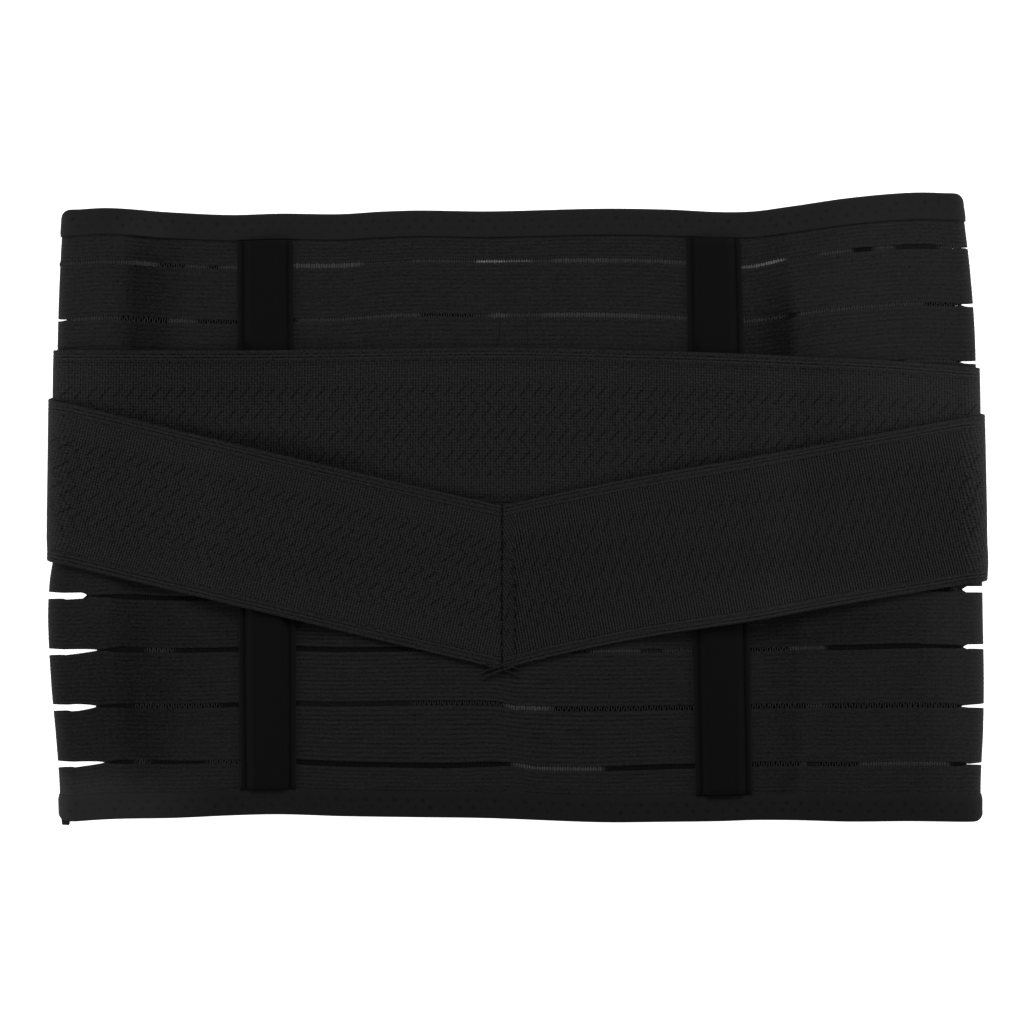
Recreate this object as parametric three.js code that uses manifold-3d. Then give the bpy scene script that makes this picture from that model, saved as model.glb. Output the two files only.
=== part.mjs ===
// A postpartum belly band as it lies in its pack: a wide wrap of elastic strips, closed at the front into a
// loop and laid flat, with the back of the wearer's side uppermost. A tape is folded over each long edge, two
// stay casings cross the back, and three elastic straps lie over them and pass round both folds.
//
// Millimetres. +X runs along the band, +Y towards its top edge, +Z up from the surface it lies on.
// The origin is the middle of the box's foot.
import * as THREE from 'three';
import { mergeVertices } from 'three/addons/utils/BufferGeometryUtils.js';
import Module from 'manifold-3d';

const wasm = await Module();
wasm.setup();
const { clamp, lerp, smoothstep } = THREE.MathUtils;

// Driving dimensions of the elastic panel
const BAND_HEIGHT = 267.5;
const BAND_MIDDLE_Y = -2.4;
const STRIP_COUNT = 11;
const SLIT = 2.2;
const PANEL_WALL = 1.4;
const END_BAR = 9;

// Trim and straps
const GAP = 0.3;
const BINDING_WALL = 0.9;
const BINDING_LEG = 11.5;
const CASING_WIDTH = 25;
const CASING_SEAM = 3.6;
const CASING_EDGE_WALL = 0.9;
const CASING_POCKET_WALL = 2.4;
const STRAP_WALL = 1.6;
const UPPER_STRAP_HEIGHT = 71.2;
const SEAM_X = -6.6;
const TAB_LENGTH = 26;
const PATCH_LENGTH = 120;
const PATCH_MARGIN = 4;

// How the loop lies: the upper layer, the two folds and the lower layer
const FOLD_RADIUS = 6.8;
const UPPER_HEIGHT = 18;
const UPPER_EDGE_DROOP = 1.4;
const CORNER_DIP = 2.4;
const CORNER_SHARPNESS = 20;
const CORNER_TIGHTNESS = 8;

// Facets: the longest on the upper layer, and how many go round a fold and along each half of the lower layer
const LONGEST_FACET = 31;
const FOLD_FACETS = 8;
const BACK_FACETS = 5;

// Where a strap climbs over a stay casing, from the casing's middle
const HUMP = { start: 16, middle: 26, end: 38 };

// Outline of the panel seen from above: the outermost X of the left and the right fold at each height
const OUTLINE = [
  { y: -136, left: -201.2, right: 204.4 },
  { y: -118, left: -201.7, right: 204.4 },
  { y: -97, left: -203.3, right: 205.4 },
  { y: -76, left: -205.2, right: 205.7 },
  { y: -48, left: -206.6, right: 205.2 },
  { y: -31, left: -205.9, right: 204.8 },
  { y: -17, left: -203.8, right: 203.6 },
  { y: 0, left: -203.4, right: 203.3 },
  { y: 36, left: -202.9, right: 202.5 },
  { y: 72, left: -202.4, right: 201.7 },
  { y: 99, left: -201.6, right: 199.6 },
  { y: 119, left: -200.6, right: 197.2 },
  { y: 132, left: -199.9, right: 195.7 },
];

// Waves of the two long edges: how far each is pushed up from a straight line
const EDGE_WAVES = [
  { x: -200, top: -0.4, bottom: -1.9 },
  { x: -179, top: 0.7, bottom: -0.4 },
  { x: -152, top: -1.2, bottom: 0.1 },
  { x: -126, top: -2.4, bottom: 1.3 },
  { x: -104, top: -1.8, bottom: 1.8 },
  { x: -78, top: -2.0, bottom: 1.0 },
  { x: -60, top: -0.9, bottom: 0.7 },
  { x: -43, top: -0.4, bottom: 0.5 },
  { x: -12, top: -0.8, bottom: 0.1 },
  { x: 36, top: 0.4, bottom: -1.7 },
  { x: 66, top: 0.0, bottom: -1.5 },
  { x: 89, top: -1.1, bottom: -1.2 },
  { x: 104, top: -0.8, bottom: -0.7 },
  { x: 120, top: 1.4, bottom: -0.8 },
  { x: 146, top: 5.1, bottom: -1.4 },
  { x: 173, top: 7.4, bottom: -1.2 },
  { x: 195, top: 7.1, bottom: -1.6 },
];

// Soft valleys across the upper layer
const DENTS = [
  { x: -163, width: 17, depth: 1.6 },
  { x: -60, width: 34, depth: 0.7 },
  { x: 30, width: 30, depth: 0.8 },
  { x: 126, width: 13, depth: 1.5 },
];

// Stay casings: where the middle of each crosses the top and the bottom of the band
const CASINGS = [
  { name: 'stay_casing_left', topX: -110.4, bottomX: -109.2 },
  { name: 'stay_casing_right', topX: 86.2, bottomX: 90.9 },
];

// Strap edges, by distance along the loop from the middle of the upper layer
const UPPER_STRAP = [
  { along: -300, top: 69.4 },
  { along: -203, top: 69.6 },
  { along: -113, top: 69.3 },
  { along: -51, top: 70.3 },
  { along: 1, top: 70.6 },
  { along: 58, top: 69.2 },
  { along: 107, top: 67.5 },
  { along: 160, top: 65.2 },
  { along: 203, top: 62.0 },
  { along: 300, top: 55.4 },
];
const LEFT_STRAP = [
  { along: -300, top: 68.6, bottom: -1.2 },
  { along: -207, top: 47.9, bottom: -22.7 },
  { along: -128, top: 29.1, bottom: -41.2 },
  { along: -60, top: 13.3, bottom: -57.8 },
  { along: SEAM_X, top: 1.5, bottom: -70.6 },
];
const RIGHT_STRAP = [
  { along: SEAM_X, top: 1.5, bottom: -70.6 },
  { along: 19, top: 7.1, bottom: -64.2 },
  { along: 58, top: 14.8, bottom: -56.3 },
  { along: 102, top: 22.3, bottom: -49.5 },
  { along: 146, top: 30.3, bottom: -41.7 },
  { along: 207, top: 41.2, bottom: -31.6 },
  { along: 300, top: 56.0, bottom: -16.4 },
];

// Sizes that follow from those
const BOTTOM = BAND_MIDDLE_Y - BAND_HEIGHT / 2;
const TOP = BAND_MIDDLE_Y + BAND_HEIGHT / 2;
const STRIP_PITCH = BAND_HEIGHT / STRIP_COUNT;
const PANEL_FACE = PANEL_WALL / 2;
const TRIM_FACE = PANEL_FACE + GAP;
const BINDING_FACE = TRIM_FACE + BINDING_WALL;
const STRAP_STEP = STRAP_WALL + GAP;
const STRAP_STACK = PANEL_FACE + 2 * STRAP_STEP;
const FLAT_RUN = 205 - PANEL_FACE - FOLD_RADIUS;
const FOLD_RUN = Math.PI * FOLD_RADIUS;
const BACK_START = FLAT_RUN + FOLD_RUN;
const FRONT_MIDDLE = BACK_START + FLAT_RUN;
const PANEL_END = FRONT_MIDDLE - GAP;
const LOWER_HEIGHT = STRAP_STACK;
const STRAP_END = Math.abs(LEFT_STRAP[0].along);

// Reads one column of a table between its rows, on a smooth curve through them
function readTable(rows, key, column, at) {
  const last = rows.length - 1;
  const held = clamp(at, rows[0][key], rows[last][key]);
  let i = 0;
  while (i < last - 1 && held > rows[i + 1][key]) i += 1;
  const slopeAt = (k) => {
    const before = rows[Math.max(k - 1, 0)];
    const after = rows[Math.min(k + 1, last)];
    return (after[column] - before[column]) / (after[key] - before[key]);
  };
  const span = rows[i + 1][key] - rows[i][key];
  const t = (held - rows[i][key]) / span;
  const ease = t * t * (3 - 2 * t);
  const leave = slopeAt(i) * span * t * (1 - t) ** 2;
  const arrive = slopeAt(i + 1) * span * t * t * (1 - t);
  return lerp(rows[i][column], rows[i + 1][column], ease) + leave - arrive;
}

// Height of the upper layer's middle: level, with soft valleys and drooping long edges
function upperHeight(x, y) {
  const fromMiddle = (y - BAND_MIDDLE_Y) / (BAND_HEIGHT / 2);
  const valleys = DENTS.reduce((sum, dent) => sum + dent.depth * Math.exp(-(((x - dent.x) / dent.width) ** 2)), 0);
  return UPPER_HEIGHT - UPPER_EDGE_DROOP * fromMiddle ** 4 - valleys;
}

// How far the waves of the long edges move a point of the band up
function edgeRise(x, y) {
  const share = (y - BOTTOM) / BAND_HEIGHT;
  return lerp(readTable(EDGE_WAVES, 'x', 'bottom', x), readTable(EDGE_WAVES, 'x', 'top', x), share);
}

// How far the loop is drawn in or out at a height, against the flat pattern
function stretchAt(side, y) {
  const edge = Math.abs(readTable(OUTLINE, 'y', side < 0 ? 'left' : 'right', y));
  return (edge - PANEL_FACE - FOLD_RADIUS) / FLAT_RUN;
}

// Lays a point of the flat pattern on the loop. `along` runs round the loop from the middle of the upper
// layer, `y` is the height on the band, `out` is the distance outwards from the middle of the panel's wall,
// and `waving` is the share of the edge waves that the piece follows.
function wrap(along, y, out, waving = 1) {
  const side = along < 0 ? -1 : 1;
  const run = Math.abs(along);
  const stretch = stretchAt(side, y);
  const foldX = FLAT_RUN * stretch;
  const foldRise = edgeRise(side * foldX, y) * waving;
  if (run <= FLAT_RUN) {
    const x = along * stretch;
    return [x, y + edgeRise(x, y) * waving, upperHeight(x, y) + out];
  }
  if (run <= BACK_START) {
    const turn = (run - FLAT_RUN) / FOLD_RADIUS;
    const high = upperHeight(side * foldX, y);
    const corner = ((y - BAND_MIDDLE_Y) / (BAND_HEIGHT / 2)) ** (CORNER_SHARPNESS + 1);
    const dip = waving * CORNER_DIP * corner * Math.sin(turn) ** CORNER_TIGHTNESS;
    return [
      side * (foldX + (FOLD_RADIUS + out) * Math.sin(turn)),
      y + foldRise - dip,
      (high + LOWER_HEIGHT) / 2 + ((high - LOWER_HEIGHT) / 2 + out) * Math.cos(turn),
    ];
  }
  const x = side * (foldX - (run - BACK_START) * stretch);
  return [x, y + edgeRise(x, y) * waving, LOWER_HEIGHT - out];
}

// Evenly spaced stations from one distance to another, both ends included
function spread(from, to, steps) {
  return Array.from({ length: steps + 1 }, (_, i) => lerp(from, to, i / steps));
}

// Stations round the whole loop: close together on the folds and where the straps climb over a stay casing
function loopStations() {
  const climbs = CASINGS.flatMap((casing) => {
    const x = (casing.topX + casing.bottomX) / 2;
    return [-HUMP.end, -HUMP.middle, -HUMP.start, HUMP.start, HUMP.middle, HUMP.end].map((step) => x + step);
  });
  const corners = [-FLAT_RUN, ...climbs, FLAT_RUN];
  const upper = corners.slice(1).flatMap((to, i) => {
    const from = corners[i];
    return spread(from, to, Math.ceil((to - from) / LONGEST_FACET)).slice(1);
  });
  const right = [
    ...spread(FLAT_RUN, BACK_START, FOLD_FACETS).slice(1),
    ...spread(BACK_START, PANEL_END, BACK_FACETS).slice(1),
  ];
  const left = [FLAT_RUN, ...right].map((along) => -along).reverse();
  return [...left, ...upper, ...right];
}

// The same stations cut off at the two ends of a strap
function strapStations(from, to) {
  const within = loopStations().filter((along) => along > from + 1 && along < to - 1);
  return [from, ...within, to];
}

// A length of cloth made flat and laid on the loop. `place` gets the distance along, the share of the way
// across and the share of the way through the cloth, and says where that corner goes.
function layCloth(stations, divisions, place) {
  const steps = stations.length - 1;
  const flat = new THREE.BoxGeometry(steps, 1, 1, steps, divisions, 1).translate(steps / 2, 0.5, 0.5);
  return bend(flat, (corner) => place(stations[Math.round(corner.x)], corner.y, corner.z));
}

// Moves every corner of a flat piece to its place
function bend(flat, place) {
  flat.deleteAttribute('normal');
  flat.deleteAttribute('uv');
  const piece = mergeVertices(flat, 1e-4);
  const corners = piece.attributes.position;
  const corner = new THREE.Vector3();
  for (let i = 0; i < corners.count; i += 1) {
    corner.fromBufferAttribute(corners, i);
    corners.setXYZ(i, ...place(corner));
  }
  return piece;
}

function toSolid(geometry) {
  const vertProperties = new Float32Array(geometry.attributes.position.array);
  const triVerts = new Uint32Array(geometry.index.array);
  return new wasm.Manifold(new wasm.Mesh({ numProp: 3, vertProperties, triVerts }));
}

function toGeometry(solid) {
  const mesh = solid.getMesh();
  const geometry = new THREE.BufferGeometry();
  geometry.setAttribute('position', new THREE.BufferAttribute(new Float32Array(mesh.vertProperties), 3));
  geometry.setIndex(new THREE.BufferAttribute(new Uint32Array(mesh.triVerts), 1));
  return geometry;
}

// The elastic panel: strips with slits between them, held together under the casings and at both ends
function elasticPanel() {
  const stations = loopStations();
  const tuck = BINDING_FACE;
  const strips = Array.from({ length: STRIP_COUNT }, (_, i) => {
    const low = BOTTOM + i * STRIP_PITCH + (i === 0 ? tuck : SLIT / 2);
    const high = BOTTOM + (i + 1) * STRIP_PITCH - (i === STRIP_COUNT - 1 ? tuck : SLIT / 2);
    return layCloth(stations, 1, (along, across, through) =>
      wrap(along, lerp(low, high, across), lerp(-PANEL_FACE, PANEL_FACE, through)));
  });
  const barFace = PANEL_FACE * 0.6;
  const bar = (from, to) => layCloth([from, to], STRIP_COUNT * 2, (along, across, through) =>
    wrap(along, lerp(BOTTOM + STRIP_PITCH / 2, TOP - STRIP_PITCH / 2, across), lerp(-barFace, barFace, through)));
  const bars = [
    bar(-PANEL_END + GAP, -PANEL_END + END_BAR),
    bar(PANEL_END - END_BAR, PANEL_END - GAP),
    ...CASINGS.map((casing) => {
      const x = (casing.topX + casing.bottomX) / 2;
      return bar(x - END_BAR / 2, x + END_BAR / 2);
    }),
  ];
  return toGeometry([...strips, ...bars].map(toSolid).reduce((whole, piece) => whole.add(piece)));
}

// A tape folded over a long edge, all the way from one end of the panel to the other
function binding(edgeY, inwards) {
  const stations = loopStations();
  const steps = stations.length - 1;
  const foldY = BINDING_FACE;
  const outline = new THREE.Shape();
  outline.moveTo(BINDING_FACE, BINDING_LEG);
  outline.lineTo(TRIM_FACE, BINDING_LEG);
  outline.lineTo(TRIM_FACE, foldY - GAP);
  outline.lineTo(-TRIM_FACE, foldY - GAP);
  outline.lineTo(-TRIM_FACE, BINDING_LEG);
  outline.lineTo(-BINDING_FACE, BINDING_LEG);
  outline.lineTo(-BINDING_FACE, foldY);
  outline.absarc(0, foldY, BINDING_FACE, Math.PI, 2 * Math.PI, false);
  const settings = { depth: steps, steps, bevelEnabled: false, curveSegments: 4 };
  const flat = new THREE.ExtrudeGeometry(outline, settings);
  const tape = (corner) => {
    const step = Math.round(corner.z);
    const along = stations[inwards > 0 ? steps - step : step];
    return wrap(along, edgeY + inwards * corner.y, corner.x);
  };
  return bend(flat, tape);
}

// A stay casing: a tape sewn down along both sides, with the pocket for the stay standing up between
function stayCasing({ topX, bottomX }) {
  const low = BOTTOM + BINDING_LEG + GAP;
  const high = TOP - BINDING_LEG - GAP;
  const half = CASING_WIDTH / 2;
  const shoulder = half - CASING_SEAM;
  const crossings = [-half, -shoulder, -shoulder + 2, 0, shoulder - 2, shoulder, half];
  const lengthwise = 14;
  return layCloth(crossings, lengthwise, (across, along, through) => {
    const inPocket = Math.abs(across) < shoulder - 1;
    const wall = inPocket ? CASING_POCKET_WALL : CASING_EDGE_WALL;
    const y = lerp(low, high, along);
    const middle = lerp(bottomX, topX, along) / stretchAt(Math.sign(topX), y);
    return wrap(middle + across, y, TRIM_FACE + through * wall);
  });
}

// Where the underside of the straps lies: on the panel, or up and over a casing
function strapSeat(along) {
  const over = CASINGS.map((casing) => {
    const away = Math.abs(along - (casing.topX + casing.bottomX) / 2);
    return 1 - smoothstep(away, HUMP.start, HUMP.end);
  });
  return TRIM_FACE + (CASING_POCKET_WALL + GAP) * Math.max(...over);
}

function upperStrap() {
  return layCloth(strapStations(-STRAP_END, STRAP_END), 2, (along, across, through) => {
    const top = readTable(UPPER_STRAP, 'along', 'top', along);
    const y = top - UPPER_STRAP_HEIGHT * (1 - across);
    return wrap(along, y, strapSeat(along) + through * STRAP_WALL, 0);
  });
}

// One half of the V: it lies on the panel along its lower edge, and on the upper strap above that strap's edge
const STEP_UP = { from: 30, to: 9 };
function vStrap(table, from, to) {
  return layCloth(strapStations(from, to), 7, (along, across, through) => {
    const low = readTable(table, 'along', 'bottom', along);
    const high = readTable(table, 'along', 'top', along);
    const y = lerp(low, high, across);
    const upperEdge = readTable(UPPER_STRAP, 'along', 'top', along) - UPPER_STRAP_HEIGHT;
    const onStrap = smoothstep(y, upperEdge - STEP_UP.from, upperEdge - STEP_UP.to);
    return wrap(along, y, strapSeat(along) + onStrap * STRAP_STEP + through * STRAP_WALL, 0);
  });
}

// The plain tab that holds the two strap ends of one side to the front
function strapTab(side, table) {
  const start = side * (STRAP_END + GAP);
  const end = side * (STRAP_END + GAP + TAB_LENGTH);
  const top = Math.max(readTable(table, 'along', 'top', start), readTable(UPPER_STRAP, 'along', 'top', start));
  const bottom = readTable(UPPER_STRAP, 'along', 'top', start) - UPPER_STRAP_HEIGHT;
  return layCloth([start, end].sort((a, b) => a - b), 1, (along, across, through) =>
    wrap(along, lerp(bottom, top, across), lerp(TRIM_FACE, STRAP_STACK, through), 0));
}

// The hook-and-loop panel that closes the front: it lies over the two ends of the elastic panel where they meet
function closurePatch() {
  const stations = [FRONT_MIDDLE - PATCH_LENGTH / 2, FRONT_MIDDLE + PATCH_LENGTH / 2];
  const low = BOTTOM + BINDING_LEG + PATCH_MARGIN;
  const high = TOP - BINDING_LEG - PATCH_MARGIN;
  return layCloth(stations, 1, (along, across, through) =>
    wrap(along, lerp(low, high, across), lerp(TRIM_FACE, STRAP_STACK, through), 0));
}

// Finishes
const ribbedElastic = new THREE.MeshStandardMaterial({ color: 0x1e1e1e, roughness: 0.85, metalness: 0 });
const strapElastic = new THREE.MeshStandardMaterial({ color: 0x1d1d1d, roughness: 0.8, metalness: 0 });
const bindingTape = new THREE.MeshStandardMaterial({ color: 0x1f1f1f, roughness: 0.8, metalness: 0 });
const plushTape = new THREE.MeshStandardMaterial({ color: 0x0d0d0d, roughness: 0.95, metalness: 0 });
const hookAndLoop = new THREE.MeshStandardMaterial({ color: 0x141414, roughness: 0.9, metalness: 0 });

const band = new THREE.Group();
function add(name, geometry, material) {
  geometry.computeVertexNormals();
  const mesh = new THREE.Mesh(geometry, material);
  mesh.name = name;
  band.add(mesh);
}

add('elastic_panel', elasticPanel(), ribbedElastic);
add('top_binding', binding(TOP, -1), bindingTape);
add('bottom_binding', binding(BOTTOM, 1), bindingTape);
CASINGS.forEach((casing) => add(casing.name, stayCasing(casing), plushTape));
add('upper_strap', upperStrap(), strapElastic);
add('left_strap', vStrap(LEFT_STRAP, -STRAP_END, SEAM_X - GAP / 2), strapElastic);
add('right_strap', vStrap(RIGHT_STRAP, SEAM_X + GAP / 2, STRAP_END), strapElastic);
add('left_tab', strapTab(-1, LEFT_STRAP), hookAndLoop);
add('right_tab', strapTab(1, RIGHT_STRAP), hookAndLoop);
add('closure_patch', closurePatch(), hookAndLoop);

export default band;
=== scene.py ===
# %% [markdown]
# # A postpartum belly band, laid flat
# The real thing is a wide black wrap of elastic that closes at the front. Here it is closed into a loop and
# pressed flat, with the side of the wearer's back up. The cloth made below takes the place of the packed
# model's plain solids.

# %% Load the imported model
import math

import bmesh
import bpy
import numpy as np
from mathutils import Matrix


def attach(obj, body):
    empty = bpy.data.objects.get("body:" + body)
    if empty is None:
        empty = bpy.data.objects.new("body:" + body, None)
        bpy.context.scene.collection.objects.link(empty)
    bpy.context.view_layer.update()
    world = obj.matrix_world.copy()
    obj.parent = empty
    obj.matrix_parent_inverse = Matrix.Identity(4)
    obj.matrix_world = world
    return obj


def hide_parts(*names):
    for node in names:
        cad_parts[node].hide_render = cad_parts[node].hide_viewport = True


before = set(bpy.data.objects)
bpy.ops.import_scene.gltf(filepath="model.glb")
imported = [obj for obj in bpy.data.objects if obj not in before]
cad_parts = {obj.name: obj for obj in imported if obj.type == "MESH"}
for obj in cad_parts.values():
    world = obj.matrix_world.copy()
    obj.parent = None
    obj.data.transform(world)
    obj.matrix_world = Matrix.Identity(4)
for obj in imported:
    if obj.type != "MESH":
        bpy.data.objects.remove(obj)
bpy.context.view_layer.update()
print("packed nodes:", sorted(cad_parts))

# %% [markdown]
# ## How the cloth lies
# Cloth is cut flat and then bent, so each piece is described on a flat pattern: a distance along the loop
# from the middle of the back, a height on the band, and a distance out from the middle of the panel's wall.
# One function lays such a point on the flattened loop. All the tables are in millimetres.

# %% Sizes in millimetres
MM = 0.001
BAND_HEIGHT = 267.5
BAND_MIDDLE_Y = -2.4
STRIP_COUNT = 11
PANEL_FACE = 0.7
GAP = 0.3
TRIM_FACE = PANEL_FACE + GAP
BINDING_WALL = 0.9
BINDING_FACE = TRIM_FACE + BINDING_WALL
BINDING_LEG = 11.5
STRAP_WALL = 1.6
STRAP_STEP = STRAP_WALL + GAP
STRAP_STACK = PANEL_FACE + 2 * STRAP_STEP
UPPER_STRAP_HEIGHT = 71.2
SEAM_X = -6.6
STRAP_END = 300.0
BOTTOM = BAND_MIDDLE_Y - BAND_HEIGHT / 2
TOP = BAND_MIDDLE_Y + BAND_HEIGHT / 2
STRIP_PITCH = BAND_HEIGHT / STRIP_COUNT

FOLD_RADIUS = 6.8
UPPER_HEIGHT = 18.0
LOWER_HEIGHT = STRAP_STACK
UPPER_EDGE_DROOP = 1.4
FOLD_DROOP = 1.4
FOLD_DROOP_RANGE = (176, 198)
CORNER_DIP = 2.4
CORNER_SHARPNESS = 21
CORNER_TIGHTNESS = 8
SLIP = 3.0
SLIP_SPREAD = 0.45
SLIP_RANGE, LATE_SLIP_RANGE = (3, 18), (20, 40)
HALF_WIDTH = 205
FLAT_RUN = HALF_WIDTH - PANEL_FACE - FOLD_RADIUS
BACK_START = FLAT_RUN + math.pi * FOLD_RADIUS
FRONT_MIDDLE = BACK_START + FLAT_RUN
PANEL_END = FRONT_MIDDLE - GAP

OUTLINE = {  # where the two folds lie at each height
    "y": [-136, -118, -97, -76, -48, -31, -17, 0, 36, 72, 99, 119, 132],
    "left": [-201.2, -201.7, -203.3, -205.2, -206.6, -205.9, -203.8, -203.4, -202.9, -202.4, -201.6, -200.6,
             -199.9],
    "right": [204.4, 204.4, 205.4, 205.7, 205.2, 204.8, 203.6, 203.3, 202.5, 201.7, 199.6, 197.2, 195.7],
}
EDGE_WAVES = {  # how far the two long edges wander up
    "x": [-200, -179, -152, -126, -104, -78, -60, -43, -12, 36, 66, 89, 104, 120, 146, 173, 195],
    "top": [-0.4, 0.7, -1.2, -2.4, -1.8, -2.0, -0.9, -0.4, -0.8, 0.4, 0.0, -1.1, -0.8, 1.4, 5.1, 7.4, 7.1],
    "bottom": [-1.9, -0.4, 0.1, 1.3, 1.8, 1.0, 0.7, 0.5, 0.1, -1.7, -1.5, -1.2, -0.7, -0.8, -1.4, -1.2, -1.6],
}
DENTS = [  # x, half width, depth
    (-163, 17, 1.6),
    (-60, 34, 0.7),
    (30, 30, 0.8),
    (126, 13, 1.5),
]
CASINGS = {  # the middle of each at the top and at the bottom of the band
    "left": (-110.4, -109.2),
    "right": (86.2, 90.9),
}
HUMP_START, HUMP_END = 16.0, 38.0
CASING_POCKET = 2.4
UPPER_STRAP = {  # edges of the straps on the flat pattern
    "along": [-300, -203, -113, -51, 1, 58, 107, 160, 203, 300],
    "top": [69.4, 69.6, 69.3, 70.3, 70.6, 69.2, 67.5, 65.2, 62.0, 55.4],
}
LEFT_STRAP = {
    "along": [-300, -207, -128, -60, SEAM_X],
    "top": [68.6, 47.9, 29.1, 13.3, 1.5],
    "bottom": [-1.2, -22.7, -41.2, -57.8, -70.6],
}
RIGHT_STRAP = {
    "along": [SEAM_X, 19, 58, 102, 146, 207, 300],
    "top": [1.5, 7.1, 14.8, 22.3, 30.3, 41.2, 56.0],
    "bottom": [-70.6, -64.2, -56.3, -49.5, -41.7, -31.6, -16.4],
}


# %% Lay a point of the flat pattern on the loop
def ease(value, start, end):
    """Rises smoothly from 0 at start to 1 at end."""
    t = np.clip((np.asarray(value, float) - start) / (end - start), 0, 1)
    return t * t * (3 - 2 * t)


def curve(keys, values, at):
    """Reads a smooth curve through the points of a table."""
    keys, values = np.asarray(keys, float), np.asarray(values, float)
    last = len(keys) - 1
    before, after = (np.clip(np.arange(last + 1) + step, 0, last) for step in (-1, 1))
    slopes = (values[after] - values[before]) / (keys[after] - keys[before])
    at = np.clip(at, keys[0], keys[-1])
    i = np.clip(np.searchsorted(keys, at) - 1, 0, last - 1)
    span = keys[i + 1] - keys[i]
    t = (at - keys[i]) / span
    blend = t * t * (3 - 2 * t)
    bend = span * t * (1 - t) * (slopes[i] * (1 - t) - slopes[i + 1] * t)
    return values[i] + (values[i + 1] - values[i]) * blend + bend


def upper_height(x, y):
    """Height of the upper layer: level, with soft valleys, drooping at its edges and folds."""
    height = UPPER_HEIGHT - UPPER_EDGE_DROOP * ((y - BAND_MIDDLE_Y) / (BAND_HEIGHT / 2)) ** 4
    for middle, width, depth in DENTS:
        height = height - depth * np.exp(-(((x - middle) / width) ** 2))
    return height - FOLD_DROOP * ease(np.abs(x), *FOLD_DROOP_RANGE)


def edge_rise(x, y):
    """How far the waves of the long edges move a point of the band up."""
    share = (y - BOTTOM) / BAND_HEIGHT
    top, bottom = (curve(EDGE_WAVES["x"], EDGE_WAVES[edge], x) for edge in ("top", "bottom"))
    return bottom + (top - bottom) * share


def slip(side, back, y):
    """How far the slacker lower layer drifts out of line with the upper one."""
    lean = np.clip((BAND_MIDDLE_Y - y) / (SLIP_SPREAD * BAND_HEIGHT / 2), -1, 1)
    late = (side < 0) & (y < 0)
    return SLIP * lean * np.where(late, ease(back, *LATE_SLIP_RANGE), ease(back, *SLIP_RANGE))


def stretch_at(side, y):
    """How far the loop is drawn out at a height, against the flat pattern."""
    left, right = (curve(OUTLINE["y"], OUTLINE[k], y) for k in ("left", "right"))
    return (np.where(side < 0, -left, right) - PANEL_FACE - FOLD_RADIUS) / FLAT_RUN


def wrap(along, y, out, waving=1.0):
    """Lays points of the pattern, in millimetres, on the loop, in metres."""
    along, y, out = np.broadcast_arrays(*(np.asarray(v, float) for v in (along, y, out)))
    side = np.where(along < 0, -1.0, 1.0)
    run = np.abs(along)
    stretch = stretch_at(side, y)
    fold_x = FLAT_RUN * stretch
    back = run - BACK_START
    slipped = slip(side, back, y) * waving
    fold_rise = edge_rise(side * fold_x, y) * waving + slipped

    x = along * stretch
    upper = np.stack([x, y + edge_rise(x, y) * waving, upper_height(x, y) + out], -1)

    turn = np.clip((run - FLAT_RUN) / FOLD_RADIUS, 0, math.pi)
    high = upper_height(side * fold_x, y)
    corner = ((y - BAND_MIDDLE_Y) / (BAND_HEIGHT / 2)) ** CORNER_SHARPNESS
    fold = np.stack([
        side * (fold_x + (FOLD_RADIUS + out) * np.sin(turn)),
        y + fold_rise - waving * CORNER_DIP * corner * np.sin(turn) ** CORNER_TIGHTNESS,
        (high + LOWER_HEIGHT) / 2 + ((high - LOWER_HEIGHT) / 2 + out) * np.cos(turn),
    ], -1)

    x = side * (fold_x - back * stretch)
    lower = np.stack([x, y + edge_rise(x, y) * waving + slipped, LOWER_HEIGHT - out], -1)

    layer = np.where(run <= FLAT_RUN, 0, np.where(run <= BACK_START, 1, 2))[..., None]
    return np.choose(layer, [upper, fold, lower]) * MM


def stations(end, upper_step, fold_steps, lower_step):
    """Distances along the loop, with their own spacing on each part."""
    upper = np.linspace(-FLAT_RUN, FLAT_RUN, math.ceil(2 * FLAT_RUN / upper_step) + 1)
    fold = np.linspace(FLAT_RUN, BACK_START, fold_steps + 1)[1:]
    lower = np.linspace(BACK_START, end, math.ceil((end - BACK_START) / lower_step) + 1)[1:]
    right = np.hstack([fold, lower])
    return np.hstack([-right[::-1], upper, right])


print(f"loop of {2 * FRONT_MIDDLE:.0f} mm, {BAND_HEIGHT:.0f} mm high")

# %% [markdown]
# ## From pattern to mesh
# A flat grid is the natural start for cloth: one way runs along the piece and the other once round its
# cross-section, where the two sides of the grid meet and are welded. Each corner also keeps its place on the
# pattern and its height in the weave, and the materials read that instead of a picture.


# %% Make a length of cloth
def lay_cloth(bm, rows, points, place):
    """Adds a grid of rows along and points around, laid where place says."""
    grid = bmesh.ops.create_grid(bm, x_segments=rows - 1, y_segments=points - 1, size=0.5)["verts"]
    flat = np.array([corner.co for corner in grid])
    row, point = np.rint((flat[:, :2] + 0.5) * (rows - 1, points - 1)).astype(int).T
    spots, marks = place(row, point)
    pattern = bm.verts.layers.float_vector["pattern"]
    for corner, spot, mark in zip(grid, spots, marks):
        corner.co = spot
        corner[pattern] = mark


def marks(along, across, relief):
    """What a corner remembers: metres along and across, and its height in the weave, with any painted light
    and shade added.
    """
    along, across, relief = np.broadcast_arrays(along, across, relief)
    return np.stack([along * MM, across * MM, relief], -1)


def add_object(name, data):
    """Puts a mesh, a lamp or a camera into the scene."""
    made = bpy.data.objects.new(name, data)
    bpy.context.scene.collection.objects.link(made)
    return made


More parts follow.
